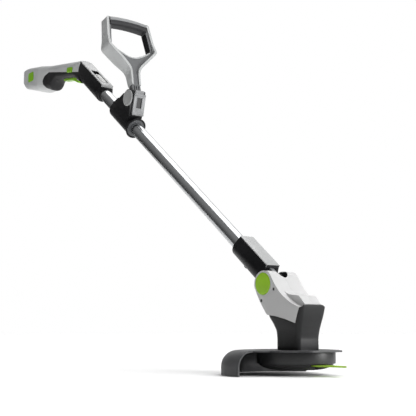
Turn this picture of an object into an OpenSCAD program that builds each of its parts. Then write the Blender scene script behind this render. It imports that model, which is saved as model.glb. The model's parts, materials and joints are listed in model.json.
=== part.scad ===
// Cordless string trimmer: telescopic shaft, tilting head, swinging plastic blade.
// Millimetres. The head is drawn from a point on the floor under the spindle:
// +X forward, +Y to the user's left, +Z up. in_hand() then moves the origin to
// the middle of the rear grip, where the trimmer is held.

/* [Shaft] */
// Outside radius of the shaft tube
tube_r = 15; // [14.5:0.1:15]
// Wall thickness of the shaft tube
tube_wall = 1.5; // [1:0.1:2.5]
// Lean of the shaft from the vertical, in degrees
tube_lean = 51.8; // [51.8:0.1:51.8]
// Where the tube starts, measured up the shaft from the tilt pivot
tube_low = 56; // [56:1:60]
// Where the tube ends inside the rear collar
tube_high = 915; // [905:1:915]
// Radius of the round belly of the coupling, clamp and collar
belly_r = 22.3; // [22:0.1:22.6]
// Height of their flat top above the shaft axis, without the cover
flat_h = 21.5; // [21:0.1:22]
// Half width of the flat top
flat_w = 16; // [15.5:0.1:17]
// Start and end of the lower coupling, up the shaft
coupling_span = [30, 127]; // [30:1:130]
// Start and end of the rear collar, up the shaft
collar_span = [807, 960]; // [800:1:960]

/* [Head] */
// Radius of the rim round the tilt pivot
rim_r = 24; // [23:0.5:25]
// Radius of the tilt pin
tilt_pin_r = 5; // [4:0.5:6]
// Radius of the round green caps
cap_r = 20.5; // [19:0.5:20.5]
// Half width of the slot that the neck swings in
slot_w = 14; // [13.5:0.5:15]
// Half width of the motor housing at its top
housing_w = 31; // [30:0.5:32]

/* [Guard] */
// Outside radius of the skirt
guard_r = 135; // [133:1:138]
// Height of the top of the guard
guard_h = 44; // [44:1:44]
// Thickness of the guard
guard_wall = 3; // [2.5:0.1:3.5]
// Half width of the front edge of the platform
front_w = 42; // [38:1:46]
// Distance of the front edge from the spindle
front_x = 80; // [76:1:84]
// Outside radius of the drum under the platform
drum_r = 71; // [70:0.5:74]

/* [Cutting disc] */
// Radius of the cutting disc
disc_r = 67; // [64:0.5:67]
// Distance of the blade peg from the spindle
peg_x = 58; // [55:0.5:59]
// Radius of the blade peg
peg_r = 5; // [4:0.5:5.5]
// Radius that the blade tip sweeps
sweep_r = 124.7; // [115:0.1:126]
// Half width of the blade
blade_w = 13.5; // [10:0.5:14]

/* [Front handle] */
// Lean of the front handle from the vertical, in degrees
handle_lean = 15; // [10:1:20]
// Half width of the grip bar where it meets the side shells
grip_half = 52; // [50:1:54]
// Radius of the handle's pivot pin
hub_pin_r = 4; // [3:0.5:5]

/* [Rear handle] */
// Slope of the grip, in degrees above the horizontal
grip_slope = 8.8; // [8:0.1:10]
// Half width of the grip
grip_w = 20; // [19:0.5:21]
// Half width of the battery
battery_w = 32; // [30:0.5:34]

/* [Hidden] */
$fn = 72;
// Radial running clearance on pins and shafts
run = 0.05;
// Gap between parts of one body
seat = 0.02;
// Overcut that makes a cutting shape pass right through
over = 1;
tilt_pivot = [-50.4, 0, 164];
hub = [-537.4, 0, 618.5];
grip_centre = [-870, 0, 763];
cover_h = 2;
tilt_wall = 34;
// Floor of the recess for each green cap, measured from the middle
cap_seat = 32.5;
// Where the battery meets the handle, along the grip
battery_front = -121;
lever_lean = 12.4;
// Clamp sleeve
clamp_span = [622, 724];
clamp_bore = 17;
// Half width of the gap between the pivot ears, and the ears' outer faces in Y
ear_in = 12.4;
ear_low = -23.5;
ear_high = 16;
ear_r = 21;
// Blade plane
blade_z = 16;
blade_t = 3;
// Latch window in the collar's cover
latch_window = [823, 893];
latch_w = 7;

// ---- Frames ----

// From the floor under the spindle to the middle of the rear grip
module in_hand() {
    translate(-grip_centre) children();
}

// Local Z runs up the shaft from the tilt pivot, local X points to its top side
module on_shaft(s = 0) {
    translate(tilt_pivot) rotate([0, -tube_lean, 0]) translate([0, 0, s]) children();
}

// Local Z runs up the front handle from its pivot, local X points forward
module on_front_handle() {
    translate(hub) rotate([0, -handle_lean, 0]) children();
}

// Local Z runs up the closed clamp lever, local X points out of its face
module on_lever() {
    translate(hub) rotate([0, lever_lean, 0]) children();
}

// Local X runs forward along the rear grip, local Z points out of its top
module on_grip() {
    translate(grip_centre) rotate([0, grip_slope, 0]) children();
}

// An XZ outline given width along Y, from y = low to y = high
module side_slab(low, high) {
    translate([0, high, 0]) rotate([90, 0, 0]) linear_extrude(high - low) children();
}

// A cylinder along Y at [x, z], from y = low to y = high
module cross_pin(x, z, r, low, high) {
    translate([x, high, z]) rotate([90, 0, 0]) cylinder(r = r, h = high - low);
}

// ---- Shared outlines ----

// Points on an arc about c, from angle a to angle b
function arc(c, r, a, b, steps = 12) =
    [for (i = [0:steps]) c + r * [cos(a + (b - a) * i / steps), sin(a + (b - a) * i / steps)]];

// Corner number i of an outline [x, y, r], as points on its fillet of radius r
function fillet(p, i) =
    let (
        here = [p[i].x, p[i].y],
        before = i == 0 ? here : [p[i - 1].x, p[i - 1].y],
        after = i == len(p) - 1 ? here : [p[i + 1].x, p[i + 1].y],
        r = p[i][2]
    )
    (r == 0 || i == 0 || i == len(p) - 1) ? [here] :
    let (
        u = (before - here) / norm(before - here),
        v = (after - here) / norm(after - here),
        half = acos(u * v) / 2,
        reach = r / tan(half),
        mid = here + (u + v) / norm(u + v) * r / sin(half),
        from = here + u * reach - mid,
        to = here + v * reach - mid,
        a = atan2(from.y, from.x),
        turn = atan2(from.x * to.y - from.y * to.x, from * to),
        steps = max(2, ceil(abs(turn) / 9))
    )
    [for (k = [0:steps]) mid + r * [cos(a + turn * k / steps), sin(a + turn * k / steps)]];
function rounded(p) = [for (i = [0:len(p) - 1]) each fillet(p, i)];

// Round belly with a flat top: circle r, flat at height top with half width half
module belly_section(r, top, half) {
    difference() {
        circle(r);
        translate([top - 0.05, -r]) square(2 * r);
    }
    flat_section(r, top, half);
}

// Flat top alone, down to where its sides touch the circle
module flat_section(r, top, half) {
    reach = norm([top, half]);
    touch = atan2(half, top) + acos(r / reach);
    inside = r - 0.1;
    polygon([
        [top, -half], [top, half],
        inside * [cos(touch), sin(touch)], inside * [cos(touch), -sin(touch)]
    ]);
}

// Square of half width w and height h with round corners, centred in y
module round_block(w, low, high, r) {
    for (side = [-1, 1]) {
        translate([low + r, side * (w - r)]) circle(r);
        translate([high - r, side * (w - r)]) circle(r);
    }
    translate([low + r, -w]) square([high - low - 2 * r, 2 * w]);
    translate([low, r - w]) square([high - low, 2 * (w - r)]);
}

// ---- Shaft ----

module tube() {
    color("silver") in_hand() on_shaft(tube_low) difference() {
        cylinder(r = tube_r, h = tube_high - tube_low);
        translate([0, 0, -over]) cylinder(r = tube_r - tube_wall, h = tube_high);
    }
}

// The lead that runs up the middle of the tube to the handle
lead_r = 3;

module power_lead() {
    plug_r = 7;
    plug_l = 18;
    color("black") in_hand() {
        on_shaft(52) cylinder(r = lead_r, h = tube_high - 52 - plug_l - 4);
        on_shaft(tube_high - plug_l - 4) cylinder(r = plug_r, h = plug_l);
    }
}

module coupling_holes() {
    on_shaft(tube_low) cylinder(r = tube_r + seat, h = 100);
    on_shaft(coupling_span[0] - over) cylinder(r = 12 + seat, h = 23);
    on_shaft(coupling_span[0]) cylinder(r = lead_r + 0.2, h = 40);
    // Opening that the neck's rib enters
    on_shaft(coupling_span[0] - over) translate([10, -4.2, 0]) cube([6.3, 8.4, 12]);
    on_shaft(90) rotate([0, -90, 0]) cylinder(r = 6.3, h = 40);
    for (s = [46, 114]) on_shaft(s) rotate([0, -90, 0]) {
        translate([0, 0, 12]) cylinder(r = 1.5 + seat, h = 20);
        translate([0, 0, 19.8]) cylinder(r = 3 + seat, h = 20);
    }
}

module coupling_body() {
    length = coupling_span[1] - coupling_span[0];
    color("#1b1b1c") in_hand() difference() {
        on_shaft(coupling_span[0]) linear_extrude(length) belly_section(belly_r, flat_h, flat_w);
        coupling_holes();
    }
}

// Light strip along the flat top, with a lip turned down at the head end
module coupling_cover() {
    length = coupling_span[1] - coupling_span[0];
    color("#c8c8c8") in_hand() on_shaft(coupling_span[0]) {
        translate([flat_h, -flat_w, -1.5]) cube([cover_h, 2 * flat_w, length + 1.5]);
        translate([17.3, -flat_w, -1.5]) cube([flat_h - 17.3, 2 * flat_w, 1.5]);
    }
}

// Round button under the coupling's belly
module coupling_button() {
    color("#151515") in_hand() on_shaft(90) rotate([0, -90, 0]) {
        translate([0, 0, 18.4]) cylinder(r = 6, h = 5.6);
        translate([0, 0, 24]) cylinder(r1 = 6, r2 = 5, h = 1.2);
    }
}

module coupling_screws() {
    color("#8d9094") in_hand() for (s = [46, 114]) on_shaft(s) rotate([0, -90, 0]) {
        translate([0, 0, 16]) cylinder(r = 1.5, h = 4);
        translate([0, 0, 19.8]) cylinder(r = 3, h = 1.8);
    }
}

// Knuckle on the tilt pin, round stem and stiffening rib
module neck() {
    color("#8f9194") in_hand() difference() {
        union() {
            cross_pin(tilt_pivot.x, tilt_pivot.z, 16, -12, 12);
            on_shaft(8) cylinder(r = 12, h = 44);
            on_shaft(13) translate([9, -4, 0]) cube([7, 8, 28]);
        }
        cross_pin(tilt_pivot.x, tilt_pivot.z, tilt_pin_r + run, -13, 13);
        on_shaft(20) cylinder(r = 5, h = 40);
    }
}

// ---- Clamp of the front handle ----

clamp_side = [
    [636, 0], [636, 25], [639, 36], [644, 58], [664, 76], [692, 54], [708, 27], [708, 0]
];

clamp_screw_at = [638, 712];
// Flat front of the ears, and the lever's pin and half widths, in the lever's frame
ear_front = 10.2;
lever_pin_at = [7, 16.5];
lever_pin_r = 2;
lever_w = 15.5;
lever_in = 12;

// Sleeve round the tube with a pedestal that carries the two pivot ears
module clamp_body() {
    color("#161617") in_hand() difference() {
        union() {
            on_shaft(clamp_span[0] + 1) cylinder(r = belly_r, h = clamp_span[1] - clamp_span[0] - 1);
            // Flared mouth at the head end, and a lip on top of the other end
            on_shaft(clamp_span[0]) cylinder(r1 = 25.5, r2 = 20, h = 7);
            on_shaft(716) linear_extrude(11) flat_section(belly_r, 27.5, 9);
            on_shaft() rotate([0, -90, -90]) translate([0, 0, ear_low + 1.5])
                linear_extrude(ear_high - ear_low - 2.5) polygon(clamp_side);
            cross_pin(hub.x, hub.z, ear_r, ear_low, ear_high);
        }
        on_shaft(580) cylinder(r = clamp_bore + seat, h = 180);
        on_shaft(clamp_span[0] - 1) cylinder(r1 = 22.9, r2 = 17.5, h = 6);
        // Room between the ears for the handle's knuckle and the lever
        on_shaft(620) translate([38, -ear_in, 0]) cube([80, 2 * ear_in, 110]);
        on_lever() translate([ear_front, -30, -41]) cube([30, 60, 90]);
        cross_pin(hub.x, hub.z, hub_pin_r + seat, -30, 30);
        on_lever() cross_pin(lever_pin_at.x, lever_pin_at.y, lever_pin_r + seat, -30, 30);
        for (s = clamp_screw_at) on_shaft(s) rotate([0, -90, 0]) {
            translate([0, 0, 16]) cylinder(r = 1.5 + seat, h = 20);
            translate([0, 0, 20.5]) cylinder(r = 3 + seat, h = 20);
        }
    }
}

// Sliding liner with a flared lip at the mouth
module clamp_liner() {
    color("#7d7f82") in_hand() difference() {
        union() {
            on_shaft(clamp_span[0] + 1) cylinder(r = clamp_bore, h = clamp_span[1] - clamp_span[0] + 2);
            on_shaft(clamp_span[0] + 0.6) cylinder(r1 = 21.1, r2 = 17.2, h = 4.3);
        }
        on_shaft(570) cylinder(r = tube_r + run, h = 170);
    }
}

module clamp_pin() {
    color("#b5b7ba") in_hand() cross_pin(hub.x, hub.z, hub_pin_r, ear_low + 1.5, ear_high - 1);
}

// Large round cover on the right of the pivot and a small one on the left
module clamp_cap_right() {
    color("#b4b6b6") in_hand() translate(hub + [0, ear_low, 0]) rotate([90, 0, 0]) {
        cylinder(r = 19.5, h = 1.5);
        translate([0, 0, 1.5]) cylinder(r1 = 19.5, r2 = 18, h = 1);
    }
}

module clamp_cap_left() {
    color("#b4b6b6") in_hand() translate(hub + [0, ear_high, 0]) rotate([-90, 0, 0])
        cylinder(r1 = 8, r2 = 7, h = 2);
}

module clamp_screws() {
    color("#8d9094") in_hand() for (s = clamp_screw_at) on_shaft(s) rotate([0, -90, 0]) {
        translate([0, 0, 17.2]) cylinder(r = 1.5, h = 4);
        translate([0, 0, 20.5]) cylinder(r = 3, h = 1.4);
    }
}

// Quick-release lever: a framed plate in front of the ears, hung from its pin between them
module clamp_lever() {
    face = ear_front + 0.4;
    color("#aeb0b1") in_hand() on_lever() difference() {
        union() {
            translate([face, -lever_w, -38.5]) cube([4.2, 2 * lever_w, 50.5]);
            // Rolled top and turned-out foot
            cross_pin(face + 2.7, 9.5, 3, 0.5 - lever_w, lever_w - 0.5);
            translate([face + 1.4, 0.2 - lever_w, -38.3]) rotate([0, -15, 0]) cube([4, 2 * lever_w - 0.4, 5]);
            // Hinge between the ears
            cross_pin(lever_pin_at.x, lever_pin_at.y, 4, -lever_in, lever_in);
            translate([lever_pin_at.x, -lever_in, 8.5]) cube([face + 1 - lever_pin_at.x, 2 * lever_in, 12]);
        }
        translate([face + 1.2, -7, -21.5]) cube([over + 5, 14, 24.5]);
        cross_pin(lever_pin_at.x, lever_pin_at.y, lever_pin_r + run, -20, 20);
    }
}

module lever_pin() {
    color("#b5b7ba") in_hand() on_lever() cross_pin(lever_pin_at.x, lever_pin_at.y, lever_pin_r, -20, 15);
}

// ---- Front handle ----

// One side of the handle, from the stem up to the grip: outer and inner edges
ribbon_outer = rounded([
    [12.5, 34, 0], [13.2, 73, 26], [68.5, 127.5, 15], [59.8, 209.6, 6], [52.6, 209, 0]
]);
ribbon_inner = rounded([
    [7.7, 34, 0], [8.2, 76, 30], [62, 129.6, 10], [53.2, 207, 0], [52.6, 208.6, 0]
]);
// Depth of the side shells, from the front edge round to the back edge
ribbon_depth = rounded([
    [9, 30, 0], [12, 60, 60], [19.5, 97, 40], [20, 127, 40], [14, 152, 40], [12, 216, 0],
    [-12, 216, 0], [-14, 152, 40], [-20, 127, 40], [-19.5, 97, 40], [-12, 60, 60], [-9, 30, 0]
]);

function flip(points) = [for (i = [len(points) - 1:-1:0]) [-points[i].x, points[i].y]];
function back(points) = [for (i = [len(points) - 1:-1:0]) points[i]];

// A YZ outline given depth along X, from x = low to x = high
module front_slab(low, high) {
    translate([low, 0, 0]) rotate([90, 0, 90]) linear_extrude(high - low) children();
}

module front_handle_side(side) {
    color("#b9bbbb") in_hand() on_front_handle() difference() {
        intersection() {
            front_slab(-22, 22) polygon(
                [for (p = concat(ribbon_outer, back(ribbon_inner))) [side * p.x, p.y]]);
            side_slab(-80, 80) polygon(ribbon_depth);
        }
        front_handle_bolts(seat);
    }
}
module front_handle_side_left() { front_handle_side(1); }
module front_handle_side_right() { front_handle_side(-1); }

// Loop opening for the hand
loop_half = rounded([[0, 106, 0], [9, 106, 30], [55.6, 130, 11], [48.6, 190, 0]]);

module front_handle_core() {
    waist = [[11.5, 0], [11.5, 33.9], [7.7, 34]];
    body = concat(waist, [for (p = ribbon_inner) if (p.y > 34) [p.x - seat, p.y]]);
    color("#66686a") in_hand() on_front_handle() difference() {
        union() {
            intersection() {
                front_slab(-10, 10) polygon(concat(body, flip(body)));
                side_slab(-80, 80) polygon([
                    [7, 0], [7, 40], [10, 95], [10, 214], [-10, 214], [-10, 95], [-7, 40], [-7, 0]
                ]);
            }
            cross_pin(0, 0, 10, -11.5, 11.5);
        }
        front_slab(-30, 30) polygon(concat(
            loop_half, back([for (p = loop_half) if (p.x > 0) [-p.x, p.y]])
        ));
        translate([-30, -grip_half, 187]) cube([60, 2 * grip_half, 45]);
        cross_pin(0, 0, hub_pin_r + run, -30, 30);
        // Finger slots in the foot
        for (y = [-6, 0, 6]) translate([3, y - 1.2, 16]) cube([20, 2.4, 16]);
        front_handle_bolts(seat);
    }
}

// Section of the grip bar: r is measured from the centre of its arch
arch_r = 350;
arch_z = 215 - arch_r;
grip_h = 24;

module grip_arch(low, high, corner) {
    sweep = 18;
    intersection() {
        translate([0, 0, arch_z]) rotate([0, -90, 0]) rotate([0, 0, -sweep / 2])
            rotate_extrude(angle = sweep, $fn = 180) translate([arch_r, 0])
                intersection() {
                    union() {
                        for (x = [-15 + corner, 15 - corner]) {
                            translate([-corner, x]) circle(corner, $fn = 32);
                            translate([corner - grip_h, x]) circle(corner, $fn = 32);
                        }
                        translate([corner - grip_h, -15]) square([grip_h - 2 * corner, 30]);
                        translate([-grip_h, corner - 15]) square([grip_h, 30 - 2 * corner]);
                    }
                    translate([low, -20]) square([high - low, 40]);
                }
        front_slab(-20, 20) polygon([
            [-grip_half, 180], [grip_half, 180], [grip_half, 212], [grip_half - 3, 218],
            [3 - grip_half, 218], [-grip_half, 212]
        ]);
    }
}

module front_grip_top() {
    color("#8f9193") in_hand() on_front_handle() difference() {
        grip_arch(-13, 0, 10);
        front_handle_bolts(seat);
    }
}

module front_grip_pad() {
    color("#2b2c2d") in_hand() on_front_handle() difference() {
        grip_arch(-grip_h, -13, 10);
        front_handle_bolts(seat);
    }
}

// Bolts through the stem and into the ends of the grip bar
module front_handle_bolts(gap = 0) {
    cross_pin(0, 50, 2 + gap, -12.4, 12.4);
    for (side = [-1, 1]) translate([0, side * 46, 202]) rotate([-90 * side, 0, 0]) {
        cylinder(r = 2 + gap, h = 13);
    }
}

module front_handle_screws() {
    color("#8d9094") in_hand() on_front_handle() front_handle_bolts();
}

// ---- Rear handle ----

// Underside of the light shell and top of the dark wrap, from the pommel forward
seam = [
    [-946, 715], [-949, 728.5], [-962, 735.5], [-971, 746], [-972.5, 757], [-965, 768.5],
    [-948, 776], [-780, 738]
];
shell_top = [[-780, 768], [-796, 772.6], [-812, 775], [-1010, 805.2], [-1010, 700], [-960, 700]];
wrap_low = [
    [-780, 711], [-818.5, 734], [-908, 747.6], [-917, 746.5], [-924, 742.5],
    [-930, 735.5], [-933.5, 727], [-934.5, 715]
];

// Cross-section of the grip and of the wider end next to the battery
module battery_section() {
    round_block(battery_w, -46, 20.6, 15);
}

// A length of the handle between two places along the grip
module grip_run(rear, front) {
    on_grip() translate([front, 0, 0]) rotate([0, -90, 0]) linear_extrude(front - rear) children();
}

// Outer form of the rear handle: the grip widens to meet the battery
module handle_form() {
    grip_run(-36, 46) round_block(grip_w, -21.5, 22, 14);
    grip_run(45, 105) round_block(grip_w, -50, 22, 14);
    grip_run(-79, -33) round_block(grip_w, -47, 22, 14);
    hull() {
        grip_run(-79, -78) round_block(grip_w, -47, 22, 14, $fn = 32);
        grip_run(battery_front + 0.3, battery_front + 1.3) battery_section($fn = 32);
    }
}

// Space inside the handle for the switch, board and terminals
module handle_room() {
    side_slab(-16, 16) polygon([
        [-795, 735], [-822, 739], [-905, 751], [-940, 757], [-960, 778], [-983, 782],
        [-983, 797.5], [-795, 768]
    ]);
    on_grip() translate([-130, -10, -1]) cube([20, 20, 11]);
    // Slot that the trigger moves in
    side_slab(-8.5, 8.5) polygon([
        [-788, 700], [-788, 748], [-888, 765], [-888, 730], [-888, 700]
    ]);
}

// Middle of the lock-off button, which follows the grip's slope
module lock_place() { on_grip() translate([41.8, 0, -2]) children(); }
lock_low = [-13, -6.7];
lock_size = [26, 13.4];

handle_screw_at = [[-800, 760], [-888, 778], [-945, 786]];

module handle_shell(side) {
    color("#bfc1c1") in_hand() difference() {
        intersection() {
            handle_form();
            side_slab(side > 0 ? 0.05 : -40, side > 0 ? 40 : -0.05) polygon(concat(seam, shell_top));
        }
        handle_room();
        for (p = handle_screw_at) cross_pin(p.x, p.y, 1.8 + seat, -40, 40);
        for (p = handle_screw_at) cross_pin(p.x, p.y, 3 + seat, 17, 40);
        // Window of the lock-off button
        lock_place() side_slab(-30, -0.5) polygon(button_outline(lock_low, lock_size, 3, 0.3));
    }
}
module handle_shell_left() { handle_shell(1); }
module handle_shell_right() { handle_shell(-1); }

// Dark wrap under the grip with the rounded pommel in front of the battery
module grip_wrap() {
    color("#18181a") in_hand() difference() {
        intersection() {
            handle_form();
            side_slab(-40, 40) polygon(concat(back(seam), back(wrap_low)));
        }
        handle_room();
        cross_pin(trigger_pin_at.x, trigger_pin_at.y, trigger_pin_r + seat, -30, 30);
        lock_place() side_slab(-30, -0.5) polygon(button_outline(lock_low, lock_size, 3, 0.3));
    }
}

module handle_screws() {
    color("#8d9094") in_hand() for (p = handle_screw_at) {
        cross_pin(p.x, p.y, 1.8, -18.5, 17.5);
        cross_pin(p.x, p.y, 3, 17, 19);
    }
}

trigger_pin_at = [-800, 724];
trigger_pin_r = 2;
trigger_w = 7.5;

module trigger_pin() {
    color("#b5b7ba") in_hand() cross_pin(trigger_pin_at.x, trigger_pin_at.y, trigger_pin_r, -14, 14);
}

// Bent plate under the grip that turns on its pin at the collar end
module trigger() {
    color("#6fb01e") in_hand() difference() {
        union() {
            side_slab(-trigger_w, trigger_w) polygon([
                [-883, 739], [-883, 745.5], [-838, 739.5], [-800, 727], [-800, 720],
                [-807, 717.5], [-837, 732]
            ]);
            cross_pin(trigger_pin_at.x, trigger_pin_at.y, 2 * trigger_pin_r, -trigger_w, trigger_w);
        }
        cross_pin(trigger_pin_at.x, trigger_pin_at.y, trigger_pin_r + run, -10, 10);
    }
}

module lock_button() {
    color("#7fc222") in_hand() lock_place() side_slab(-22.5, -16.5)
        polygon(button_outline(lock_low, lock_size, 3, 0));
}

module switch_module() {
    color("#2a2a2c") in_hand() translate([-872, -16, 758.5]) cube([24, 32, 9]);
}

module control_board() {
    color("#1f6b3a") in_hand() translate([-938, -16, 765]) cube([36, 32, 1.6]);
}

module battery_terminals() {
    color("#b08d57") in_hand() {
        on_grip() translate([-113.5, -15, 2]) cube([7, 30, 10]);
        on_grip() for (y = [-8, 0, 8]) translate([-124.5, y - 0.6, 2.5]) cube([11.5, 1.2, 5.5]);
    }
}

module collar_holes() {
    on_shaft(740) cylinder(r = tube_r + run, h = tube_high + 1 - 740);
    on_shaft(latch_window[0]) translate([17.4, -10, 0]) cube([20, 20, latch_window[1] - latch_window[0]]);
}

// Ring round the belly at the collar's mouth
module collar_flare() {
    on_shaft(collar_span[0] - 6) difference() {
        cylinder(r1 = 18, r2 = 20.5, h = 7);
        translate([17.2, -30, -over]) cube([20, 60, 20]);
    }
}

// Black receiver of the tube
module collar_body() {
    color("#161617") in_hand() difference() {
        intersection() {
            union() {
                on_shaft(collar_span[0]) linear_extrude(collar_span[1] - collar_span[0])
                    belly_section(belly_r, flat_h, flat_w);
                collar_flare();
            }
            translate([-779.9, -30, 600]) cube([140, 60, 200]);
        }
        collar_holes();
    }
}

// Light cover of the collar, with the latch window
module collar_cover() {
    color("#c4c6c6") in_hand() difference() {
        intersection() {
            on_shaft(collar_span[0] - 1.5) {
                translate([flat_h, -flat_w, 0]) cube([cover_h + 0.5, 2 * flat_w, 170]);
                translate([17.3, -flat_w, 0]) cube([flat_h - 17.3, 2 * flat_w, 1.5]);
            }
            translate([-779.9, -30, 600]) cube([140, 60, 200]);
        }
        collar_holes();
    }
}

// Ribbed slider that frees the tube
module tube_latch() {
    color("#e6e6e4") in_hand() on_shaft(latch_window[0] + 5) {
        translate([17.6, -latch_w, 0]) cube([5.4, 2 * latch_w, 42]);
        for (s = [4:5:39]) translate([23, -latch_w + 1.5, s]) cube([1.2, 2 * latch_w - 3, 2]);
    }
}

// ---- Battery ----

battery_side = [
    [-960, 715], [-960, 810], [-1046, 811], [-1068, 807.5], [-1080, 800], [-1084, 789], [-1081, 781],
    [-1072, 768], [-1056, 750.5], [-984, 731], [-975, 715]
];

module battery_form() {
    intersection() {
        grip_run(-260, battery_front) battery_section();
        side_slab(-50, 50) polygon(battery_side);
        // Round corners in plan
        translate([-1084, 0, 690]) linear_extrude(140) round_block(battery_w, 0, 200, 12);
    }
}

release_low = [-1046, 766.5];
release_size = [31, 25.5];
// Outline of a button with round corners, grown by gap
function button_outline(low, size, r, gap) =
    let (a = low - [gap, gap], b = low + size + [gap, gap], m = (a.y + b.y) / 2)
    rounded([[a.x, m - 1, 0], [a.x, a.y, r], [b.x, a.y, r], [b.x, b.y, r], [a.x, b.y, r], [a.x, m + 1, 0]]);

module release_window(side) {
    translate([0, side * (battery_w + 2.5), 0]) side_slab(-7.5, 7.5)
        polygon(button_outline(release_low, release_size, 5, 0.4));
}

module battery_case() {
    color("#c0c2c2") in_hand() difference() {
        battery_form();
        battery_room();
        for (side = [-1, 1]) release_window(side);
    }
}

module battery_room() {
    on_grip() translate([-191, -25, -24]) cube([72, 50, 41.5]);
    on_grip() translate([-176, -25, -40.5]) cube([49, 50, 17]);
}

// Front face of the battery with the contact slots
module battery_face() {
    color("#303133") in_hand() difference() {
        on_grip() translate([-124, -25, -24]) cube([2.7, 50, 41.5]);
        on_grip() for (y = [-8, 0, 8]) translate([-130, y - 1.2, 0.5]) cube([20, 2.4, 9.5]);
    }
}

// Places of the cells across the battery: [sideways, up]
cell_at = [[-13, 7.5], [13, 7.5], [-13, -12.5], [13, -12.5]];

module battery_cells() {
    cell_r = 9.1;
    color("#3d6ea8") in_hand() on_grip() {
        for (p = cell_at) translate([-190, p.x, p.y]) rotate([0, 90, 0]) cylinder(r = cell_r, h = 65);
    }
}

module battery_release(side) {
    color("#86c71f") in_hand() translate([0, side * (battery_w - 1), 0]) side_slab(-1.8, 1.8)
        polygon(button_outline(release_low, release_size, 5, 0));
}
module battery_release_left() { battery_release(1); }
module battery_release_right() { battery_release(-1); }

// ---- Head ----

// Curved foot of the white joint housing, which sits in the motor housing
joint_foot = [[-41.2, 107.1], [-20, 104.5], [6, 99], [30.8, 91.8]];
// Its outline below the pivot's round rim
joint_side = concat(
    [[-72, 155], [-68, 145.9], [-58, 128.5], [-45, 110]],
    joint_foot,
    [[43.1, 120.1], [30, 190], [-50, 188.4]]);
crease_c = [75.7, 232.5];
crease_r = 117;

module joint_form() {
    intersection() {
        union() {
            difference() {
                side_slab(-40, 40) polygon(joint_side);
                cross_pin(crease_c.x, crease_c.y, crease_r, -50, 50, $fn = 180);
            }
            // Tongue down the middle of the front
            intersection() {
                side_slab(-20, 20) polygon([
                    [-8, 125], [-8, 148], [16, 138.5], [46, 125], [43.1, 120.1], [30, 110]
                ]);
                front_slab(-20, 50) polygon([[-20, 100], [-13, 150], [13, 150], [20, 100]]);
            }
            cross_pin(tilt_pivot.x, tilt_pivot.z, rim_r, -40, 40);
        }
        // Sides lean out towards the pivot
        front_slab(-100, 60) polygon([
            [-30.5, 85], [30.5, 85], [tilt_wall, 150], [tilt_wall, 200],
            [-tilt_wall, 200], [-tilt_wall, 150]
        ]);
    }
}

module joint_room() {
    // Slot for the neck, open at the top and the back
    translate([-90, -slot_w, 150]) cube([49.5, 2 * slot_w, 60]);
    translate([-40.5, 0, 150]) cylinder(r = slot_w, h = 60);
    cross_pin(tilt_pivot.x, tilt_pivot.z, 18.5, -slot_w, slot_w);
    // Hollow above the motor
    side_slab(-26, 26) polygon([[-44, 116], [22, 106], [26, 113], [-4, 131], [-22, 138], [-48, 138]]);
    cross_pin(tilt_pivot.x, tilt_pivot.z, tilt_pin_r + seat, -30, 30);
    for (side = [-1, 1]) translate([0, side * (cap_seat + 5), 0])
        cross_pin(tilt_pivot.x, tilt_pivot.z, cap_r + 0.3, -5, 5);
    head_screw_holes(seat);
}

head_screw_at = [[-21.2, 153], [-56.2, 133]];
module head_screw_holes(gap = 0) {
    for (p = head_screw_at) {
        cross_pin(p.x, p.y, 1.6 + gap, -31, 28);
        cross_pin(p.x, p.y, 3 + gap, gap > 0 ? -40 : -32.5, -30.5);
    }
}

module head_shell(side) {
    color("#eeeeee") in_hand() difference() {
        joint_form();
        joint_room();
        translate([-100, side > 0 ? -59.98 : -0.02, 80]) cube([200, 60, 140]);
    }
}
module head_shell_left() { head_shell(1); }
module head_shell_right() { head_shell(-1); }

module tilt_cap(side) {
    color("#86b820") in_hand() translate([tilt_pivot.x, side * cap_seat, tilt_pivot.z])
        rotate([-90 * side, 0, 0]) {
            cylinder(r = cap_r, h = 1.8);
            translate([0, 0, 1.8]) cylinder(r1 = cap_r, r2 = cap_r - 1.2, h = 0.9);
        }
}
module tilt_cap_left() { tilt_cap(1); }
module tilt_cap_right() { tilt_cap(-1); }

module tilt_pin() {
    color("#b5b7ba") in_hand() cross_pin(tilt_pivot.x, tilt_pivot.z, tilt_pin_r, -30, 30);
}

module head_screws() {
    color("#5a5c5e") in_hand() head_screw_holes();
}

// Levels of the waisted motor housing: [height, back, front, half width]
housing_levels = [
    [44, -26, 35, 28], [62, -26, 35, 28], [76, -27, 37.5, 28.5], [90, -33.5, 41.5, 30],
    [104, -44, 47, housing_w], [119, -48, 52, housing_w]
];

module housing_slice(level) {
    corner = 9;
    translate([0, 0, level[0]]) linear_extrude(0.01)
        for (x = [level[1] + corner, level[2] - corner], y = [corner - level[3], level[3] - corner])
            translate([x, y]) circle(corner, $fn = 32);
}

module motor_housing() {
    color("#3a3b3c") in_hand() difference() {
        intersection() {
            for (i = [0:len(housing_levels) - 2]) hull() {
                housing_slice(housing_levels[i]);
                housing_slice(housing_levels[i + 1]);
            }
            // Arched top edge
            front_slab(-80, 80) polygon(rounded([
                [-45, 30, 0], [45, 30, 0], [45, 96, 0], [32, 115, 9], [0, 121, 60],
                [-32, 115, 9], [-45, 96, 0]
            ]));
        }
        // The white housing sits in here
        side_slab(-60, 60) polygon([
            [-70, 200], [-70, 112], [-45, 109.6], [-41.2, 106.9], [-20, 104.3], [6, 98.8],
            [30.9, 91.5], [43.4, 120.2], [44, 200]
        ]);
        translate([4, 0, 48]) cylinder(r = 22.5, h = 80);
        cylinder(r = 8 + seat, h = 60);
        guard_screw_shapes(seat);
    }
}

module motor() {
    color("#8c8f92") in_hand() difference() {
        union() {
            translate([0, 0, 54]) cylinder(r = 18, h = 40.5);
            translate([0, 0, 51]) cylinder(r = 7, h = 3);
        }
        translate([0, 0, 40]) cylinder(r = 3 + run, h = 30);
    }
}

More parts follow.
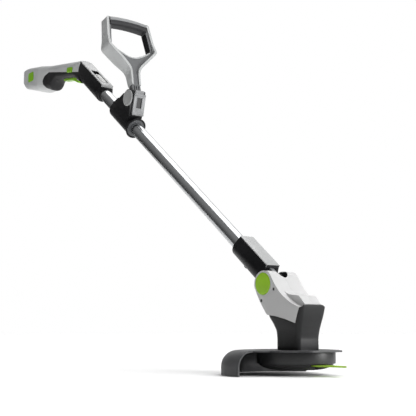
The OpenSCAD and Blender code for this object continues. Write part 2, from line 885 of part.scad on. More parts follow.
// Ring that holds the motor in its housing
module motor_mount() {
    color("#2a2a2c") in_hand() difference() {
        intersection() {
            translate([4, 0, 49]) cylinder(r = 22.4, h = 12);
            translate([-40, -22, 48]) cube([80, 44, 20]);
        }
        translate([0, 0, 54]) cylinder(r = 18 + seat, h = 60);
        translate([0, 0, 40]) cylinder(r = 8.5, h = 60);
        guard_screw_shapes(0.5);
    }
}

// ---- Guard ----

bend_r = 29;
// The skirt's flat ring lies a hair under the platform's top
bend_c = [guard_r - bend_r, guard_h - bend_r - 0.1];
skirt_outer = concat([[guard_r, 0]], arc(bend_c, bend_r, 0, 90, 10));
skirt_inner = concat([[guard_r - guard_wall, 0]], arc(bend_c, bend_r - guard_wall, 0, 90, 10));
skirt_start = 113;
skirt_rake = 38;
plate_r = 78;
skirt_end = 270;

// Half-round skirt, with its left end raked back towards the ground
module skirt() {
    extra = 8;
    difference() {
        rotate([0, 0, skirt_start - extra])
            rotate_extrude(angle = skirt_end - skirt_start + extra, $fn = 180) polygon(
                concat(
                    skirt_outer,
                    [[plate_r - 4, bend_c.y + bend_r], [plate_r - 4, bend_c.y + bend_r - guard_wall]],
                    back(skirt_inner)
                ));
        rotate([0, 0, skirt_start]) front_slab(plate_r - 10, guard_r + 5) polygon([
            [-60, -over], [skirt_rake, -over], [0, guard_h + over], [-60, guard_h + over]
        ]);
    }
}

module guard() {
    color("#58595b") in_hand() difference() {
        union() {
            skirt();
            translate([0, 0, guard_h - guard_wall]) linear_extrude(guard_wall) {
                platform();
                circle(plate_r);
            }
        }
        translate([0, 0, 30]) cylinder(r = 8 + seat, h = 20);
        guard_screw_shapes(seat);
    }
}

// Flat top in front of the skirt
module platform() {
    corner = 10;
    polygon(concat(
        arc([front_x - corner, front_w - corner], corner, 0, 62, 6),
        [[26, 73], [hub_at(skirt_start).x, hub_at(skirt_start).y], [-20, 0],
            [hub_at(skirt_end).x, hub_at(skirt_end).y], [17, -74]],
        arc([front_x - corner, corner - front_w], corner, -62, 0, 6)
    ));
}
// Where an end of the skirt's flat top meets the platform
function hub_at(angle) = (guard_r - 33) * [cos(angle), sin(angle)];

guard_screw_at = [[-16, 17], [-16, -17], [24, 17], [24, -17]];
module guard_screw_shapes(gap = 0) {
    for (p = guard_screw_at) translate([p.x, p.y, 0]) {
        translate([0, 0, gap > 0 ? 30 : 39]) cylinder(r = 3.5 + gap, h = gap > 0 ? 12.5 : 3.5);
        translate([0, 0, 40]) cylinder(r = 1.8 + gap, h = 9 + gap);
    }
}

module guard_screws() {
    color("#8d9094") in_hand() guard_screw_shapes();
}

drum_low = 20.3;

// Fixed drum that shields the spindle above the disc
module disc_drum() {
    height = guard_h - guard_wall - drum_low - seat;
    color("#3c3d3f") in_hand() difference() {
        translate([0, 0, drum_low]) cylinder(r = drum_r, h = height, $fn = 120);
        translate([0, 0, drum_low - over]) cylinder(r = drum_r - 2.5, h = 38 - drum_low + over, $fn = 120);
        translate([0, 0, 20]) cylinder(r = 9, h = 30);
        for (p = guard_screw_at) translate([p.x, p.y, 20]) cylinder(r = 4.2, h = 30);
    }
}

module spindle_bearing() {
    color("#c9cacc") in_hand() difference() {
        translate([0, 0, 40]) cylinder(r = 8, h = 8);
        translate([0, 0, 30]) cylinder(r = 3 + run, h = 30);
    }
}

// ---- Cutting disc ----

module spindle() {
    color("#c9cacc") in_hand() translate([0, 0, 13]) cylinder(r = 3, h = 54);
}

disc_profile = [
    [0, 23], [disc_r - 4, 23], [disc_r, 21], [disc_r, 18.5], [60, 13.5], [50, 10.6], [40, 9.2], [0, 9]
];

module cutting_disc() {
    notch_x = 40;
    color("#2c2d2e") in_hand() {
        difference() {
            rotate_extrude($fn = 120) polygon(disc_profile);
            // Open sector that the blade's root swings in
            linear_extrude(19.3) polygon([
                [notch_x, -12], [notch_x, 12], [90, 42], [90, -42]
            ]);
            translate([0, 0, 13]) cylinder(r = 3 + seat, h = 20);
            cylinder(r = 6 + seat, h = 12);
            cylinder(r = 2 + seat, h = 14);
        }
        translate([peg_x, 0, 14]) cylinder(r = peg_r, h = 6);
        translate([peg_x, 0, 12.5]) cylinder(r = peg_r + 2, h = 3);
    }
}

module disc_screw() {
    color("#8d9094") in_hand() {
        translate([0, 0, 9.5]) cylinder(r = 6, h = 2.5);
        translate([0, 0, 11]) cylinder(r = 2, h = 2);
    }
}

// Leaf-shaped plastic blade on its peg
module blade() {
    root_x = 46;
    color("#8fd015", 0.9) in_hand() difference() {
        translate([0, 0, blade_z]) linear_extrude(blade_t) polygon(concat(
            [[root_x, -7], [root_x, 7], [50, 11.5], [55, blade_w], [64, blade_w], [80, 11], [100, 6.5]],
            [[sweep_r, 0], [100, -6.5], [80, -11], [64, -blade_w], [55, -blade_w], [50, -11.5]]
        ));
        translate([peg_x, 0, 0]) cylinder(r = peg_r + run, h = 40);
    }
}

handle_shell_left();
handle_shell_right();
grip_wrap();
collar_body();
collar_cover();
handle_screws();
switch_module();
control_board();
battery_terminals();
trigger();
trigger_pin();
lock_button();
battery_case();
battery_face();
battery_cells();
battery_release_left();
battery_release_right();
tube_latch();
tube();
power_lead();
coupling_body();
coupling_cover();
coupling_button();
coupling_screws();
neck();
clamp_body();
clamp_liner();
clamp_pin();
clamp_cap_left();
clamp_cap_right();
clamp_screws();
clamp_lever();
lever_pin();
front_handle_core();
front_handle_side_left();
front_handle_side_right();
front_grip_top();
front_grip_pad();
front_handle_screws();
head_shell_left();
head_shell_right();
tilt_cap_left();
tilt_cap_right();
tilt_pin();
head_screws();
motor_housing();
motor();
motor_mount();
guard();
guard_screws();
disc_drum();
spindle_bearing();
spindle();
cutting_disc();
disc_screw();
blade();
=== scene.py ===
"""Looks of the cordless string trimmer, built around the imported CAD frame.

Metres, in the row frame: +X runs forward to the cutting head, +Y is the user's left, +Z is up, and
the origin is the middle of the rear grip. Most lengths below are written in millimetres, and mm()
turns them into metres.
"""
import json
import math

import bmesh
import bpy
from mathutils import Matrix, Vector

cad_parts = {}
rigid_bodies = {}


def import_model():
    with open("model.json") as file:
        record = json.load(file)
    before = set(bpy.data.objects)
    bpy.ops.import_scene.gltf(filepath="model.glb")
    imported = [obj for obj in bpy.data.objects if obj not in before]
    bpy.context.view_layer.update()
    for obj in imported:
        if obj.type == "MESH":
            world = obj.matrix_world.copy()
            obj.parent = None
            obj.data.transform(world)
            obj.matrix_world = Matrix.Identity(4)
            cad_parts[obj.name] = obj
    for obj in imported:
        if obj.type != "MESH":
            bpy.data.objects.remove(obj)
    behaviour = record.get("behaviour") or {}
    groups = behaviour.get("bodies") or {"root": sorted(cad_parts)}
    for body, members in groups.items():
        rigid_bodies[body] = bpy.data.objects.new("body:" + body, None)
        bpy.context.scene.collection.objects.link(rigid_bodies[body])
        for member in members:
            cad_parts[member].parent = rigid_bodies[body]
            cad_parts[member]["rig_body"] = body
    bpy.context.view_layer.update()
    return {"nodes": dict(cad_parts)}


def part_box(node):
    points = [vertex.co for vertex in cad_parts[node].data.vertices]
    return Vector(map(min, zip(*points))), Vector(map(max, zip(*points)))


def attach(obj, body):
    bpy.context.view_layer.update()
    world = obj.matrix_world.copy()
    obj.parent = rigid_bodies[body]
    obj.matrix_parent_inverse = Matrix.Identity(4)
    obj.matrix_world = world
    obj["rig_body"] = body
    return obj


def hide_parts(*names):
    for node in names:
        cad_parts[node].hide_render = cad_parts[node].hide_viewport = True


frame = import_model()
nodes = frame["nodes"]

MM = 0.001


def mm(*values):
    """Millimetres to metres: one number, or a Vector of three."""
    if len(values) == 1:
        return values[0] * MM
    return Vector([v * MM for v in values])


# ---------------------------------------------------------------- places taken from the frame

def centre(node):
    low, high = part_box(node)
    return (low + high) / 2


FLOOR_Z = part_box("guard")[0].z
SPINDLE = Vector((centre("spindle").x, 0, FLOOR_Z))
TILT = centre("tilt_pin")
HUB = Vector((centre("clamp_pin").x, 0, centre("clamp_pin").z))

# Angles between each part's own axis and the vertical (the rear grip's is from the horizontal)
SHAFT_LEAN = math.radians(51.8)
LOOP_LEAN = math.radians(15)
LEVER_LEAN = math.radians(12.4)
GRIP_LEAN = math.radians(8.8)


def leaning(origin, lean, front, side, up):
    """A point given in mm from the origin, in a frame whose upright leans back by an angle."""
    along = Vector((-math.sin(lean), 0, math.cos(lean)))
    out = Vector((math.cos(lean), 0, math.sin(lean)))
    return origin + mm(front) * out + mm(side) * Vector((0, 1, 0)) + mm(up) * along


def on_shaft(top, side, up):
    """A point given in mm: out of the shaft's flat top, left, and up it from the tilt pin."""
    return leaning(TILT, SHAFT_LEAN, top, side, up)


def on_loop(front, side, up):
    """A point given in mm in the front handle's frame: forward, left and up from its pivot."""
    return leaning(HUB, LOOP_LEAN, front, side, up)


def on_lever(side, up, front):
    """A point given in mm on the closed clamp lever: left, up from the hub, out of its face."""
    return leaning(HUB, -LEVER_LEAN, front, side, up)


def on_head(x, y, z):
    """A point given in mm from the floor under the spindle."""
    return SPINDLE + mm(x, y, z)


def head_side(x, z, y):
    """A point of an outline drawn from the side in on_head's frame, with its depth to the left."""
    return on_head(x, y, z)


def head_front(y, z, x):
    """A point of a head outline drawn from the front, with its depth forward."""
    return on_head(x, y, z)


def on_grip(along, side, up):
    """A point given in mm in the rear grip's frame: forward along the grip, left, and up."""
    forward = Vector((math.cos(GRIP_LEAN), 0, -math.sin(GRIP_LEAN)))
    out = Vector((math.sin(GRIP_LEAN), 0, math.cos(GRIP_LEAN)))
    return mm(along) * forward + mm(side) * Vector((0, 1, 0)) + mm(up) * out


def grip_side(along, up, side):
    """A point of a rear grip outline drawn from the side, with its depth to the left."""
    return on_grip(along, side, up)


# ---------------------------------------------------------------- camera, light and floor

CAMERA_YAW = 0.9165
CAMERA_PITCH = 0.1349
CAMERA_PLACE = on_head(1206.4, -1125.0, 79.2)
CAMERA_LENS = 77.9


def add_camera():
    """A camera near the floor, ahead of the head and to its right, that looks back and up."""
    level = math.cos(CAMERA_PITCH)
    forward = Vector((-math.sin(CAMERA_YAW) * level, math.cos(CAMERA_YAW) * level,
                      math.sin(CAMERA_PITCH)))
    right = Vector((math.cos(CAMERA_YAW), math.sin(CAMERA_YAW), 0))
    up = right.cross(forward)
    data = bpy.data.cameras.new("camera")
    data.sensor_width = 36
    data.lens = CAMERA_LENS
    camera = bpy.data.objects.new("camera", data)
    bpy.context.scene.collection.objects.link(camera)
    turn = Matrix((right, up, -forward)).transposed().to_4x4()
    camera.matrix_world = Matrix.Translation(CAMERA_PLACE) @ turn
    bpy.context.scene.camera = camera


def add_light(kind, name, place, target, power, size):
    """A soft light: a sun with an angle of size degrees, or a square area light of size metres."""
    data = bpy.data.lights.new(name, kind)
    data.energy = power
    if kind == "SUN":
        data.angle = math.radians(size)
    else:
        data.size = size
    light = bpy.data.objects.new(name, data)
    light.location = place
    light.rotation_euler = (target - place).to_track_quat("-Z", "Y").to_euler()
    bpy.context.scene.collection.objects.link(light)


WHITE = (1, 1, 1, 1)
SWEEP_TOWARDS = (-0.62, 0.76, 0.20)
SWEEP_STARTS, SWEEP_IS_FULL = 0.72, 0.90
CEILING_LOW = (0.06, 0.06, 0.06, 1)
CEILING_HIGH = (0.32, 0.32, 0.32, 1)


def blend_to_white(tree, factor, colour):
    """The socket of a mix that runs from a colour to white."""
    mix = tree.nodes.new("ShaderNodeMix")
    mix.data_type = "RGBA"
    tree.links.new(factor, mix.inputs["Factor"])
    tree.links.new(colour, mix.inputs["A"])
    mix.inputs["B"].default_value = WHITE
    return mix.outputs["Result"]


def add_world():
    """Reflects a white sweep behind the tool, a soft ceiling and a dim room everywhere else."""
    world = bpy.data.worlds.new("studio")
    world.use_nodes = True
    tree = world.node_tree
    background = tree.nodes["Background"]
    place = tree.nodes.new("ShaderNodeTexCoord")
    facing = tree.nodes.new("ShaderNodeVectorMath")
    facing.operation = "DOT_PRODUCT"
    facing.inputs[1].default_value = SWEEP_TOWARDS
    tree.links.new(place.outputs["Generated"], facing.inputs[0])
    sweep = tree.nodes.new("ShaderNodeMapRange")
    sweep.interpolation_type = "SMOOTHSTEP"
    sweep.inputs["From Min"].default_value = SWEEP_STARTS
    sweep.inputs["From Max"].default_value = SWEEP_IS_FULL
    tree.links.new(facing.outputs["Value"], sweep.inputs["Value"])
    apart = tree.nodes.new("ShaderNodeSeparateXYZ")
    tree.links.new(place.outputs["Generated"], apart.inputs["Vector"])
    ceiling = tree.nodes.new("ShaderNodeValToRGB")
    ceiling.color_ramp.elements[0].position = 0.05
    ceiling.color_ramp.elements[0].color = CEILING_LOW
    ceiling.color_ramp.elements[1].position = 0.75
    ceiling.color_ramp.elements[1].color = CEILING_HIGH
    tree.links.new(apart.outputs["Z"], ceiling.inputs["Fac"])
    room = blend_to_white(tree, sweep.outputs["Result"], ceiling.outputs["Color"])
    # Seen directly, the backdrop is plain white all round
    path = tree.nodes.new("ShaderNodeLightPath")
    seen = blend_to_white(tree, path.outputs["Is Camera Ray"], room)
    tree.links.new(seen, background.inputs["Color"])
    bpy.context.scene.world = world


def clear_from_below(material):
    """Hides a surface's back, so that the floor doesn't cover the tool's underside."""
    tree = material.node_tree
    output = next(node for node in tree.nodes if node.type == "OUTPUT_MATERIAL")
    front = output.inputs["Surface"].links[0].from_socket
    facing = tree.nodes.new("ShaderNodeNewGeometry")
    clear = tree.nodes.new("ShaderNodeBsdfTransparent")
    mix = tree.nodes.new("ShaderNodeMixShader")
    tree.links.new(facing.outputs["Backfacing"], mix.inputs["Fac"])
    tree.links.new(front, mix.inputs[1])
    tree.links.new(clear.outputs["BSDF"], mix.inputs[2])
    tree.links.new(mix.outputs["Shader"], output.inputs["Surface"])


MIDDLE = Vector((0.45, 0, -0.35))
FLOOR_HALF = 14
FLOOR_GAP = 0.0005


def add_stage():
    """Two soft suns, a low front light that shapes the motor housing, the world and the floor."""
    add_light("SUN", "key", MIDDLE + Vector((1.9, 0.6, 1.7)), MIDDLE, 1.6, 40)
    add_light("SUN", "top", MIDDLE + Vector((-0.5, 0.6, 2.4)), MIDDLE, 1.5, 45)
    low = SPINDLE + Vector((0, 0, 0.1))
    add_light("AREA", "front", low + Vector((1.35, 1.05, 0.22)), low, 15, 0.42)
    add_world()
    bpy.context.scene.view_settings.view_transform = "Standard"
    mesh = bpy.data.meshes.new("floor")
    corners = [(-1, -1), (1, -1), (1, 1), (-1, 1)]
    mesh.from_pydata([(x * FLOOR_HALF, y * FLOOR_HALF, FLOOR_Z - FLOOR_GAP) for x, y in corners],
                     [], [(0, 1, 2, 3)])
    floor = bpy.data.objects.new("floor", mesh)
    bpy.context.scene.collection.objects.link(floor)
    material = new_material("floor_paper", (0.96, 0.96, 0.96), roughness=0.9, grain=40, bump=0.02,
                            spread=0.01)
    clear_from_below(material)
    mesh.materials.append(material)


# ---------------------------------------------------------------- materials

PATCH_SCALE = 28
GRAIN_HEIGHT = 0.0004


def new_material(name, colour, roughness=0.5, grain=900, bump=0.05, spread=0.05, metallic=0.0,
                 streak=(1, 1, 1), smudge=0.03, specular=0.5):
    """A moulded, rolled or drawn surface.

    grain is the fine texture's scale per metre, bump its strength, spread the share by which the
    colour varies, smudge how much the roughness varies over a few centimetres, and streak the
    (x, y, z) scale of the grain, uneven for drawn metal.
    """
    material = bpy.data.materials.new(name)
    material.use_nodes = True
    tree = material.node_tree
    shader = tree.nodes["Principled BSDF"]
    shader.inputs["Metallic"].default_value = metallic
    shader.inputs["Specular IOR Level"].default_value = specular
    place = tree.nodes.new("ShaderNodeTexCoord")
    stretch = tree.nodes.new("ShaderNodeMapping")
    stretch.inputs["Scale"].default_value = streak
    tree.links.new(place.outputs["Object"], stretch.inputs["Vector"])

    patches = tree.nodes.new("ShaderNodeTexNoise")
    patches.inputs["Scale"].default_value = PATCH_SCALE
    patches.inputs["Detail"].default_value = 4
    tree.links.new(place.outputs["Object"], patches.inputs["Vector"])
    ramp = tree.nodes.new("ShaderNodeValToRGB")
    ramp.color_ramp.elements[0].position = 0.35
    ramp.color_ramp.elements[1].position = 0.65
    ramp.color_ramp.elements[0].color = (*[c * (1 - spread) for c in colour], 1)
    ramp.color_ramp.elements[1].color = (*[min(c * (1 + spread), 1) for c in colour], 1)
    tree.links.new(patches.outputs["Fac"], ramp.inputs["Fac"])
    tree.links.new(ramp.outputs["Color"], shader.inputs["Base Color"])

    shine = tree.nodes.new("ShaderNodeMapRange")
    shine.inputs["From Min"].default_value = 0.3
    shine.inputs["From Max"].default_value = 0.7
    shine.inputs["To Min"].default_value = max(roughness - smudge, 0.02)
    shine.inputs["To Max"].default_value = roughness + smudge
    tree.links.new(patches.outputs["Fac"], shine.inputs["Value"])
    tree.links.new(shine.outputs["Result"], shader.inputs["Roughness"])

    fine = tree.nodes.new("ShaderNodeTexNoise")
    fine.inputs["Scale"].default_value = grain
    fine.inputs["Detail"].default_value = 3
    tree.links.new(stretch.outputs["Vector"], fine.inputs["Vector"])
    height = tree.nodes.new("ShaderNodeBump")
    height.inputs["Strength"].default_value = bump
    height.inputs["Distance"].default_value = GRAIN_HEIGHT
    tree.links.new(fine.outputs["Fac"], height.inputs["Height"])
    tree.links.new(height.outputs["Normal"], shader.inputs["Normal"])
    return material


MATERIALS = {
    "black": new_material("black_shell", (0.007, 0.007, 0.008), 0.34, bump=0.08, spread=0.15,
                          specular=0.2),
    "wrap": new_material("black_overmould", (0.010, 0.010, 0.011), 0.50, grain=1500, bump=0.25,
                         spread=0.15, specular=0.35),
    "light": new_material("light_grey_shell", (0.50, 0.51, 0.51), 0.42, bump=0.06, spread=0.03),
    "battery": new_material("battery_grey", (0.47, 0.48, 0.48), 0.42, bump=0.06, spread=0.03),
    "cover": new_material("cover_grey", (0.36, 0.365, 0.365), 0.36, bump=0.05, spread=0.03),
    "side": new_material("handle_side_grey", (0.44, 0.45, 0.45), 0.40, bump=0.07, spread=0.04),
    "core": new_material("handle_core_grey", (0.125, 0.128, 0.132), 0.48, grain=1100, bump=0.14,
                         spread=0.06, specular=0.35),
    "grip": new_material("grip_grey", (0.25, 0.255, 0.26), 0.55, grain=1300, bump=0.2, spread=0.05),
    "pad": new_material("grip_pad_dark", (0.022, 0.022, 0.024), 0.5, grain=1300, bump=0.2,
                        spread=0.1, specular=0.35),
    "white": new_material("white_shell", (0.56, 0.56, 0.56), 0.34, bump=0.03, spread=0.012,
                          smudge=0.015),
    "lime": new_material("lime_cap", (0.30, 0.57, 0.012), 0.38, bump=0.05, spread=0.05),
    "green": new_material("green_button", (0.20, 0.46, 0.008), 0.34, bump=0.05, spread=0.05),
    "housing": new_material("motor_housing_grey", (0.010, 0.0103, 0.011), 0.35, grain=1100,
                            bump=0.08, spread=0.1, specular=0.28),
    "guard": new_material("guard_grey", (0.074, 0.075, 0.078), 0.50, grain=1000, bump=0.12,
                          spread=0.07, specular=0.25),
    "drum": new_material("drum_grey", (0.018, 0.0185, 0.0195), 0.40, grain=1000, bump=0.12,
                         spread=0.1, specular=0.4),
    "disc": new_material("disc_black", (0.014, 0.014, 0.015), 0.45, grain=1000, bump=0.15,
                         spread=0.12, specular=0.3),
    "tube": new_material("drawn_aluminium", (0.46, 0.47, 0.48), 0.19, grain=500, bump=0.02,
                         spread=0.03, metallic=1.0, streak=(0.12, 3, 0.12)),
    "steel": new_material("ground_steel", (0.55, 0.56, 0.58), 0.3, bump=0.08, metallic=1.0,
                          spread=0.05),
    "dark_steel": new_material("blackened_steel", (0.06, 0.06, 0.062), 0.4, bump=0.08, metallic=0.6,
                               spread=0.05),
    "cast": new_material("cast_grey", (0.30, 0.31, 0.32), 0.4, grain=700, bump=0.2, metallic=0.4,
                         spread=0.06),
    "liner": new_material("liner_grey", (0.085, 0.088, 0.092), 0.42, bump=0.08, spread=0.05),
    "cap": new_material("clamp_cap_grey", (0.36, 0.365, 0.365), 0.42, bump=0.08, spread=0.05),
    "lever": new_material("lever_grey", (0.25, 0.255, 0.26), 0.38, bump=0.08, spread=0.05),
    "latch": new_material("latch_white", (0.66, 0.66, 0.65), 0.4, bump=0.05, spread=0.03),
    "brass": new_material("contact_brass", (0.75, 0.55, 0.25), 0.3, metallic=1.0),
    "board": new_material("solder_resist", (0.02, 0.16, 0.06), 0.4),
    "cells": new_material("cell_sleeve", (0.04, 0.12, 0.34), 0.35),
    "blade": new_material("lime_nylon", (0.42, 0.68, 0.05), 0.34, grain=600, bump=0.08,
                          spread=0.08),
}

NODE_MATERIAL = {
    "handle_shell_left": "light", "handle_shell_right": "light", "grip_wrap": "wrap",
    "collar_body": "black", "collar_cover": "cover", "handle_screws": "steel",
    "switch_module": "pad", "control_board": "board", "battery_terminals": "brass",
    "trigger": "green", "trigger_pin": "steel", "lock_button": "green", "battery_case": "battery",
    "battery_face": "pad", "battery_cells": "cells", "battery_release_left": "green",
    "battery_release_right": "green", "tube_latch": "latch", "tube": "tube", "power_lead": "pad",
    "coupling_body": "black", "coupling_cover": "cover", "coupling_button": "black",
    "coupling_screws": "steel", "neck": "cast", "clamp_body": "black", "clamp_liner": "liner",
    "clamp_pin": "steel", "clamp_cap_left": "cap", "clamp_cap_right": "cap",
    "clamp_screws": "steel", "clamp_lever": "lever", "lever_pin": "steel",
    "front_handle_core": "core", "front_handle_side_left": "side",
    "front_handle_side_right": "side", "front_grip_top": "grip", "front_grip_pad": "pad",
    "front_handle_screws": "steel", "head_shell_left": "white", "head_shell_right": "white",
    "tilt_cap_left": "lime", "tilt_cap_right": "lime", "tilt_pin": "steel",
    "head_screws": "dark_steel", "motor_housing": "housing", "motor": "steel", "motor_mount": "pad",
    "guard": "guard", "guard_screws": "steel", "disc_drum": "drum", "spindle_bearing": "steel",
    "spindle": "steel", "cutting_disc": "disc", "disc_screw": "steel", "blade": "blade",
}

for node_name, node_object in nodes.items():
    node_object.data.materials[0] = MATERIALS[NODE_MATERIAL[node_name]]


# ---------------------------------------------------------------- mesh helpers

def fillet(points, steps=6):
    """An outline of (a, b) or (a, b, radius) corners, those with a radius rounded off."""
    result = []
    for i, corner in enumerate(points):
        here = Vector(corner[:2])
        if len(corner) < 3:
            result.append(here)
            continue
        before = (Vector(points[i - 1][:2]) - here).normalized()
        after = (Vector(points[(i + 1) % len(points)][:2]) - here).normalized()
        half = before.angle(after) / 2
        middle = here + (before + after).normalized() * corner[2] / math.sin(half)
        reach = corner[2] / math.tan(half)
        start, end = here + before * reach - middle, here + after * reach - middle
        for k in range(steps + 1):
            share = k / steps
            turn = start.angle(end)
            mixed = start * math.sin((1 - share) * turn) + end * math.sin(share * turn)
            mixed /= math.sin(turn)
            result.append(middle + mixed)
    return result


def arc(x, y, radius, start, end, steps=24):
    """Points on a circle about (x, y), between two angles in degrees."""
    angles = [math.radians(start + (end - start) * k / steps) for k in range(steps + 1)]
    return [(x + radius * math.cos(a), y + radius * math.sin(a)) for a in angles]


def round_outline(x, y, radius):
    """A closed circle of 24 points."""
    return arc(x, y, radius, 0, 345, 23)


def bent(start, pull, end, steps=8):
    """A curve from start to end that is drawn towards pull, without its start point."""
    points = []
    for k in range(1, steps + 1):
        s = k / steps
        points.append(tuple((1 - s) ** 2 * a + 2 * s * (1 - s) * b + s * s * c
                            for a, b, c in zip(start, pull, end)))
    return points


def smooth_value(table, x):
    """A value between the rows of a table of (x, value), along a smooth monotone curve."""
    if x <= table[0][0]:
        return table[0][1]
    for i in range(len(table) - 1):
        (x0, y0), (x1, y1) = table[i], table[i + 1]
        if x <= x1:
            slopes = []
            for j in (i, i + 1):
                if 0 < j < len(table) - 1:
                    left = (table[j][1] - table[j - 1][1]) / (table[j][0] - table[j - 1][0])
                    right = (table[j + 1][1] - table[j][1]) / (table[j + 1][0] - table[j][0])
                    slopes.append(0 if left * right <= 0 else 2 * left * right / (left + right))
                else:
                    slopes.append((y1 - y0) / (x1 - x0))
            h, s = x1 - x0, (x - x0) / (x1 - x0)
            return (y0 * (1 + 2 * s) * (1 - s) ** 2 + slopes[0] * h * s * (1 - s) ** 2
                    + y1 * s * s * (3 - 2 * s) + slopes[1] * h * s * s * (s - 1))
    return table[-1][1]


def new_mesh(name, vertices, faces):
    mesh = bpy.data.meshes.new(name)
    mesh.from_pydata(vertices, [], faces)
    build = bmesh.new()
    build.from_mesh(mesh)
    bmesh.ops.recalc_face_normals(build, faces=build.faces)
    build.to_mesh(mesh)
    build.free()
    piece = bpy.data.objects.new(name, mesh)
    bpy.context.scene.collection.objects.link(piece)
    return piece


def loft(name, rings):
    """A closed skin over closed rings that all have the same number of points."""
    count = len(rings[0])
    last = (len(rings) - 1) * count
    faces = [tuple(range(count)), tuple(reversed(range(last, last + count)))]
    for i in range(len(rings) - 1):
        for k in range(count):
            m = (k + 1) % count
            faces.append((i * count + k, i * count + m, (i + 1) * count + m, (i + 1) * count + k))
    return new_mesh(name, [point for ring in rings for point in ring], faces)


def prism(name, outline, low, high, place):
    """An outline of (a, b) points given depth from low to high, each put by place(a, b, depth)."""
    return loft(name, [[place(a, b, depth) for a, b in outline] for depth in (low, high)])


def round_ring(low, high, half, low_r, high_r):
    """A round-cornered section of (across, height) points, with a radius low down and high up."""
    corners = [(-half, low, low_r), (half, low, low_r), (half, high, high_r), (-half, high, high_r)]
    return fillet(corners, 8)


def combine(piece, other, operation):
    """Cuts, joins or trims a piece with another mesh, which is then removed."""
    boolean = piece.modifiers.new("combine", "BOOLEAN")
    boolean.operation = operation
    boolean.solver = "EXACT"
    boolean.object = other
    apply_modifiers(piece)
    bpy.data.objects.remove(other)


WELD = 2e-5
FLAT = math.radians(0.8)


def soften(piece, width, segments=3, angle=28):
    """Joins up a piece's flat faces and rounds every edge sharper than the angle by width mm."""
    build = bmesh.new()
    build.from_mesh(piece.data)
    bmesh.ops.remove_doubles(build, verts=build.verts, dist=WELD)
    bmesh.ops.dissolve_limit(build, angle_limit=FLAT, verts=build.verts, edges=build.edges,
                             delimit=set())
    build.to_mesh(piece.data)
    build.free()
    bevel = piece.modifiers.new("bevel", "BEVEL")
    bevel.width = mm(width)
    bevel.segments = segments
    bevel.limit_method = "ANGLE"
    bevel.angle_limit = math.radians(angle)
    bevel.use_clamp_overlap = True
    bevel.miter_outer = "MITER_ARC"
    apply_modifiers(piece)


CREASE = math.radians(35)


def body_of(node):
    return nodes[node]["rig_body"]


def dress(piece, body, material):
    """Gives a piece its material and its body, and smooths its faces."""
    piece.data.materials.clear()
    piece.data.materials.append(MATERIALS[material])
    for polygon in piece.data.polygons:
        polygon.use_smooth = True
    piece.data.set_sharp_from_angle(angle=CREASE)
    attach(piece, body)


def finish_piece(piece, node):
    """Dresses a piece as its node and hides the node that it stands for."""
    dress(piece, body_of(node), NODE_MATERIAL[node])
    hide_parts(node)


def apply_modifiers(piece):
    bpy.context.view_layer.update()
    evaluated = piece.evaluated_get(bpy.context.evaluated_depsgraph_get())
    result = bpy.data.meshes.new_from_object(evaluated)
    piece.modifiers.clear()
    old = piece.data
    piece.data = result
    bpy.data.meshes.remove(old)


def moulded(node, width):
    """A copy of a CAD node's mesh with its flat faces joined up and every sharp edge rounded."""
    piece = bpy.data.objects.new(node + "_moulded", nodes[node].data.copy())
    bpy.context.scene.collection.objects.link(piece)
    soften(piece, width)
    finish_piece(piece, node)


# ---------------------------------------------------------------- rear handle

GRIP_TOP = 20.6
GRIP_TOP_ROUND = 13.5


def handle_skin(name):
    """The outer form of the rear handle: grip, pommel and the flare that meets the battery."""
    # Each table gives a measure at distances along the grip
    underside = [(-121, -46), (-79, -47), (-66, -46.6), (-59.5, -42), (-55.5, -35), (-50, -28),
                 (-43, -23.4), (-35, -21.2), (-10, -20.2), (20, -20.2), (48, -20.8), (62, -23),
                 (80, -31), (105, -43)]
    half_width = [(-121, 31.8), (-112, 29.8), (-96, 24.3), (-79, 20.3), (-60, 20), (-30, 19.6),
                  (30, 19.6), (105, 20)]
    low_round = [(-121, 15), (-90, 17), (-60, 15), (-45, 13), (-30, 12), (105, 12)]
    # Closer together where the pommel turns
    stations = [-121 + k * 1.5 for k in range(21)]
    stations += [-89.5 + k for k in range(58)]
    stations += [-31 + k * 4 for k in range(34)]
    rings = []
    for x in stations:
        ring = round_ring(smooth_value(underside, x), GRIP_TOP, smooth_value(half_width, x),
                          smooth_value(low_round, x), GRIP_TOP_ROUND)
        rings.append([on_grip(x, y, z) for y, z in ring])
    return loft(name, rings)


# Line where the light shells meet the black wrap, as head_side points with corner radii
COLLAR_X = -780.3
SEAM = [(-946, 690), (-948, 728.5, 8), (-962, 735, 12), (-971, 746, 12), (-972.5, 757, 12),
        (-965, 768.5, 12), (-948, 776, 14), (COLLAR_X, 738.2)]

SCREW_PLACES = [(-800, 760), (-888, 778), (-945, 786)]
SCREW_STEM_R = 1.8
SCREW_HEAD_R = 3
SCREW_HOLE_R = 3.3
SCREW_SEAT = 14


def lock_button_window():
    """A recess in the right side, deep enough for the pushed lock-off button."""
    outline = fillet([(28.4, -9, 3), (55.2, -9, 3), (55.2, 5, 3), (28.4, 5, 3)])
    return prism("lock_window", outline, -26, -9, grip_side)


def screw_stem(name, place):
    return prism(name, arc(*place, SCREW_STEM_R, 0, 330, 11), -14, 14.2, head_side)


def make_handle_screws():
    """The CAD screws stand a little proud of the rounded skin, so these are set deeper."""
    screws = screw_stem("handle_screws_form", SCREW_PLACES[0])
    for place in SCREW_PLACES[1:]:
        combine(screws, screw_stem("join", place), "UNION")
    long, wide = 2.2, 0.4
    for x, z in SCREW_PLACES:
        cap = round_outline(x, z, SCREW_HEAD_R)
        combine(screws, prism("join", cap, SCREW_SEAT, 15.4, head_side), "UNION")
        left, right, low, high = x - long, x + long, z - wide, z + wide
        slot = [(left, low), (right, low), (right, high), (left, high)]
        combine(screws, prism("cut", slot, 14.7, 20, head_side), "DIFFERENCE")
    finish_piece(screws, "handle_screws")


